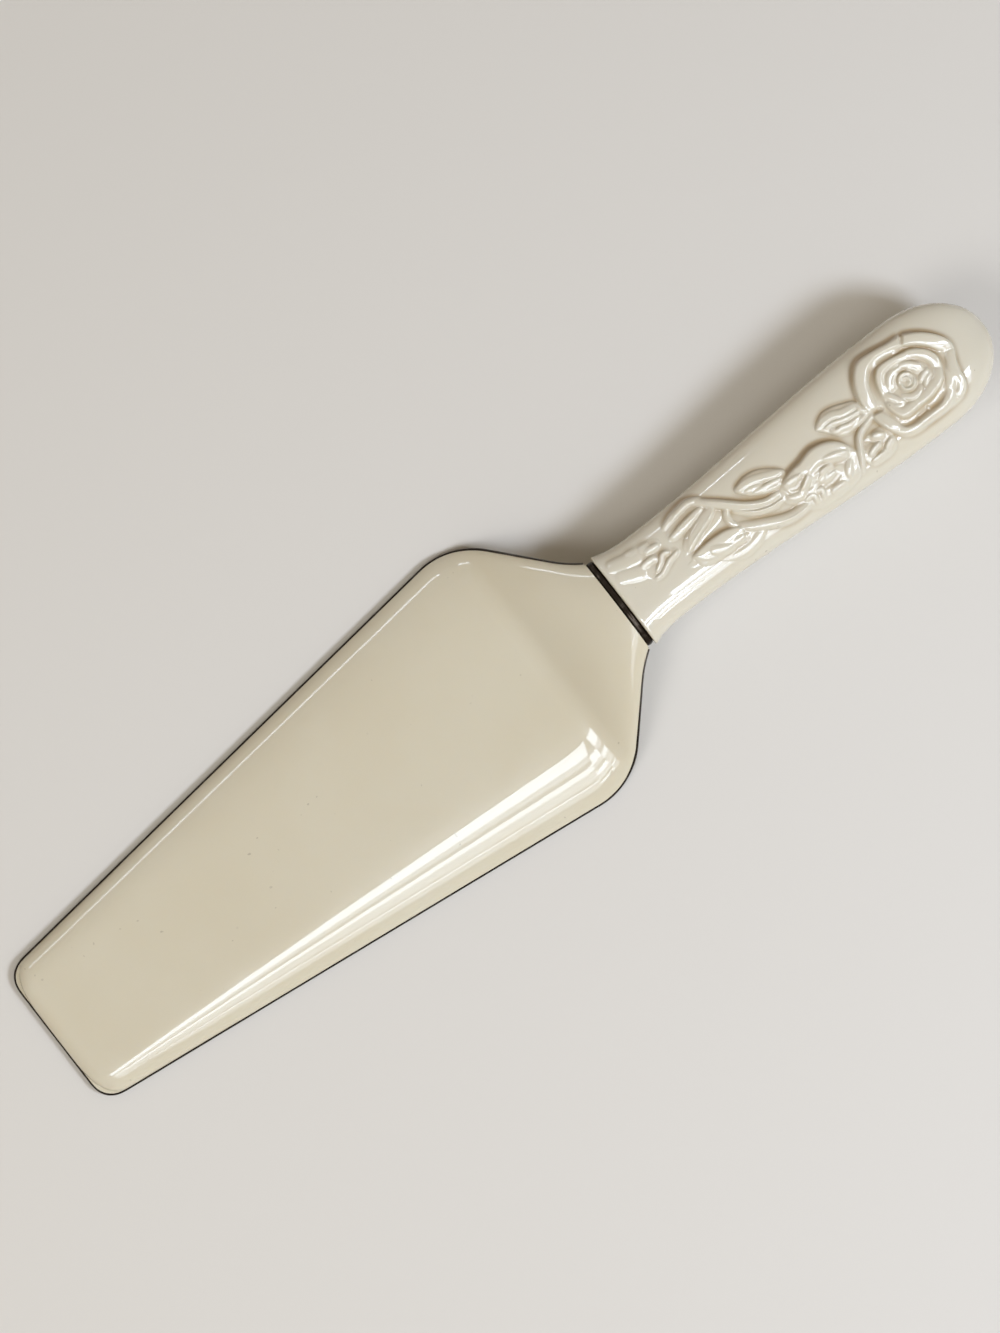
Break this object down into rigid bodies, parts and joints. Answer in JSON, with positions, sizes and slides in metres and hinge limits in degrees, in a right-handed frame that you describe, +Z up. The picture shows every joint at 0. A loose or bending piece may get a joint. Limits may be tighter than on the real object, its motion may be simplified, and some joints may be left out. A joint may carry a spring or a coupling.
{
  "type": "cake server",
  "caption": "Porcelain cake server: a flat tapering blade bent up into a short neck, metal line round its edge, and a hollow rounded handle with a rose branch in relief.",
  "frame": {"origin": "on the table, under the middle of the server's whole length and width", "axes": "+X from the blade's tip to the handle's end, +Y across the blade, +Z up, square to the table that the blade lies on"},
  "size_m": [0.267, 0.069, 0.0237],
  "materials": {
    "porcelain": "clear gloss glaze over ivory porcelain",
    "relief_porcelain": "clear gloss glaze over ivory porcelain, pooled in the hollows",
    "platinum": "fired bright metal film",
    "cement": "rough white cement"
  },
  "bodies": {
    "root": {"blade": "porcelain", "edge_trim": "platinum", "neck_band": "platinum", "handle_shell": "porcelain", "tang_cement": "cement", "rose_outer_petals": "relief_porcelain", "rose_inner_petals": "relief_porcelain", "rose_heart": "relief_porcelain", "main_stem": "relief_porcelain", "side_stem": "relief_porcelain", "rose_stem": "relief_porcelain", "rosebud": "relief_porcelain", "folded_leaf": "relief_porcelain", "leaf_by_rose": "relief_porcelain", "leaf_mid_handle": "relief_porcelain", "leaf_stem_upper": "relief_porcelain", "leaf_stem_lower": "relief_porcelain", "leaf_branch_tip": "relief_porcelain", "leaf_front_upper": "relief_porcelain", "leaf_front_lower": "relief_porcelain"}
  },
  "joints": []
}
